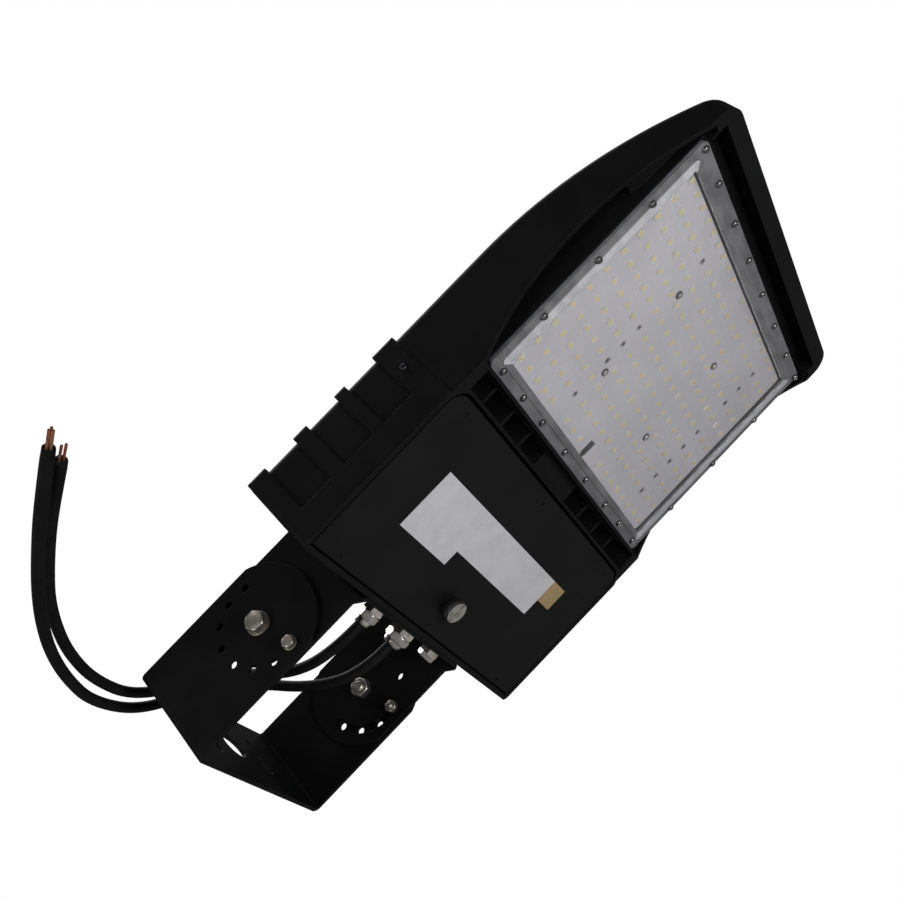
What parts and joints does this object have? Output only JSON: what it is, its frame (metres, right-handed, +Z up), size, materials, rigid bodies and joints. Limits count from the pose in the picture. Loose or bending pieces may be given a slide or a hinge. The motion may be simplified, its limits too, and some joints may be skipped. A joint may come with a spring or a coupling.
{
  "type": "shoebox area light",
  "caption": "Flat black shoebox area light with a square LED window, a hinged wiring door, heat sink fins and a tilting trunnion yoke with two cords.",
  "frame": {"origin": "centre of the yoke web's rear face, which lies against the pole or wall, level with the tilt pivot", "axes": "+X from the yoke towards the nose of the light, +Z up with the lamp window facing down, +Y across the light"},
  "size_m": [0.5458, 0.4834, 0.1166],
  "materials": {
    "black_coat": "satin black powder coat",
    "yoke_coat": "satin black powder coat on steel",
    "black_steel": "black oxide",
    "bright_steel": "bare zinc-plated steel",
    "nickel": "nickel plate",
    "board_white": "matte white solder resist",
    "lamp_yellow": "pale yellow phosphor",
    "resistor_black": "matte",
    "pad_grey": "matte",
    "clear_lens": "clear",
    "black_rubber": "matte",
    "grip_black": "matte",
    "plug_white": "matte",
    "label_grey": "bare silver-grey film",
    "label_gold": "bare gold film",
    "copper": "bare copper",
    "driver_case": "potted metal case"
  },
  "bodies": {
    "yoke": {"yoke": "yoke_coat", "pivot_bolts": "bright_steel", "pivot_washers": "bright_steel", "pivot_nuts": "bright_steel", "lock_bolts": "bright_steel", "lock_washers": "bright_steel", "lock_nuts": "bright_steel", "dimming_cord": "black_rubber", "supply_cord": "black_rubber", "dimming_conductors": "copper", "supply_conductors": "copper"},
    "head": {"board_connector": "plug_white", "board_leads": "plug_white", "board_resistors": "resistor_black", "board_screws": "nickel", "bracket_bolts": "black_steel", "breather_plug": "nickel", "driver_box": "black_coat", "gland_bodies": "nickel", "gland_domes": "nickel", "gland_locknuts": "nickel", "head_bracket": "yoke_coat", "lamp_body": "black_coat", "led_board": "board_white", "led_chips": "lamp_yellow", "led_driver": "driver_case", "lens_cover": "clear_lens", "lens_gasket": "black_rubber", "lens_screws": "nickel", "side_screws": "black_steel", "surge_guard": "driver_case", "terminal_block": "plug_white", "thermal_pad": "pad_grey"},
    "door": {"door": "black_coat", "hinge_pins": "bright_steel", "door_gasket": "black_rubber", "spec_label": "label_grey", "rating_label": "label_grey", "gold_label": "label_gold"},
    "thumb_screw": {"thumb_grip": "grip_black", "thumb_screw": "nickel"}
  },
  "joints": [
    {"name": "head_tilt", "type": "hinge", "parent": "yoke", "child": "head", "pos_m": [0.0837, 0, 0], "axis": [0, -1, 0], "range_deg": [0, 90], "deforming": ["dimming_cord", "supply_cord", "dimming_conductors", "supply_conductors"]},
    {"name": "door_hinge", "type": "hinge", "parent": "head", "child": "door", "pos_m": [0.2615, 0, -0.0403], "axis": [0, -1, 0], "range_deg": [0, 90]},
    {"name": "thumb_turn", "type": "hinge", "parent": "door", "child": "thumb_screw", "pos_m": [0.1754, 0, -0.0455], "axis": [0, 0, 1], "continuous": true}
  ]
}
